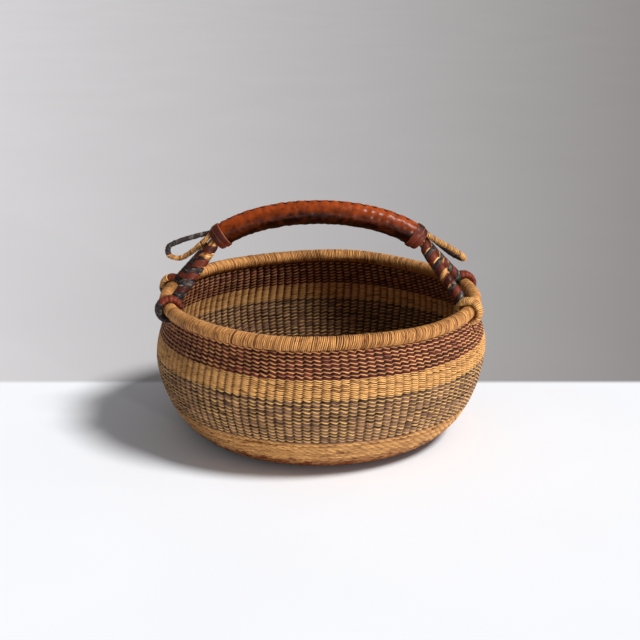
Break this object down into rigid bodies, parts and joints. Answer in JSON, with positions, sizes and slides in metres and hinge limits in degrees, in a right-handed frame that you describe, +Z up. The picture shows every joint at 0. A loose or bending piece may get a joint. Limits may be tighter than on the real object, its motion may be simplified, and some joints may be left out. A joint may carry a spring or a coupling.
{
  "type": "bolga basket",
  "caption": "Round woven grass basket with a wrapped rim, coloured bands and an arched leather grip that leans a little on wound legs.",
  "frame": {"origin": "centre of the underside, on the surface the basket stands on", "axes": "+Z up, +X along the handle towards its right end as pictured, +Y to the back"},
  "size_m": [0.396, 0.396, 0.2806],
  "materials": {
    "natural_grass": "satin",
    "rim_grass": "satin",
    "maroon_grass": "satin",
    "grey_grass": "satin",
    "dark_grass": "satin",
    "grip_leather": "gloss",
    "strap_leather": "satin",
    "lace_thong": "matte"
  },
  "bodies": {
    "basket": {"base_weave": "natural_grass", "grey_band": "grey_grass", "natural_band": "natural_grass", "maroon_band": "maroon_grass", "rim_core": "natural_grass", "rim_wrap": "rim_grass", "front_left_ring": "strap_leather", "front_right_ring": "strap_leather", "back_left_ring": "strap_leather", "back_right_ring": "strap_leather"},
    "handle": {"front_left_leather_winding": "strap_leather", "front_left_grass_winding": "dark_grass", "front_right_leather_winding": "strap_leather", "front_right_grass_winding": "dark_grass", "back_left_leather_winding": "strap_leather", "back_left_grass_winding": "dark_grass", "back_right_leather_winding": "strap_leather", "back_right_grass_winding": "dark_grass", "front_hoop": "natural_grass", "back_hoop": "natural_grass", "grip_padding": "natural_grass", "leather_grip_cover": "grip_leather", "seam_lacing": "lace_thong", "left_end_binding": "strap_leather", "left_ear_loop_core": "natural_grass", "left_ear_loop_dark_wrap": "dark_grass", "left_ear_loop_pale_wrap": "natural_grass", "right_end_binding": "strap_leather", "right_ear_loop_core": "natural_grass", "right_ear_loop_dark_wrap": "dark_grass", "right_ear_loop_pale_wrap": "natural_grass"}
  },
  "joints": [
    {"name": "handle_lean", "type": "hinge", "parent": "basket", "child": "handle", "pos_m": [0, 0, 0.162], "axis": [1, 0, 0], "range_deg": [-10, 10], "stiffness_Nm_per_rad": 6, "deforming": ["front_hoop", "back_hoop", "front_left_leather_winding", "front_left_grass_winding", "front_right_leather_winding", "front_right_grass_winding", "back_left_leather_winding", "back_left_grass_winding", "back_right_leather_winding", "back_right_grass_winding"]}
  ]
}
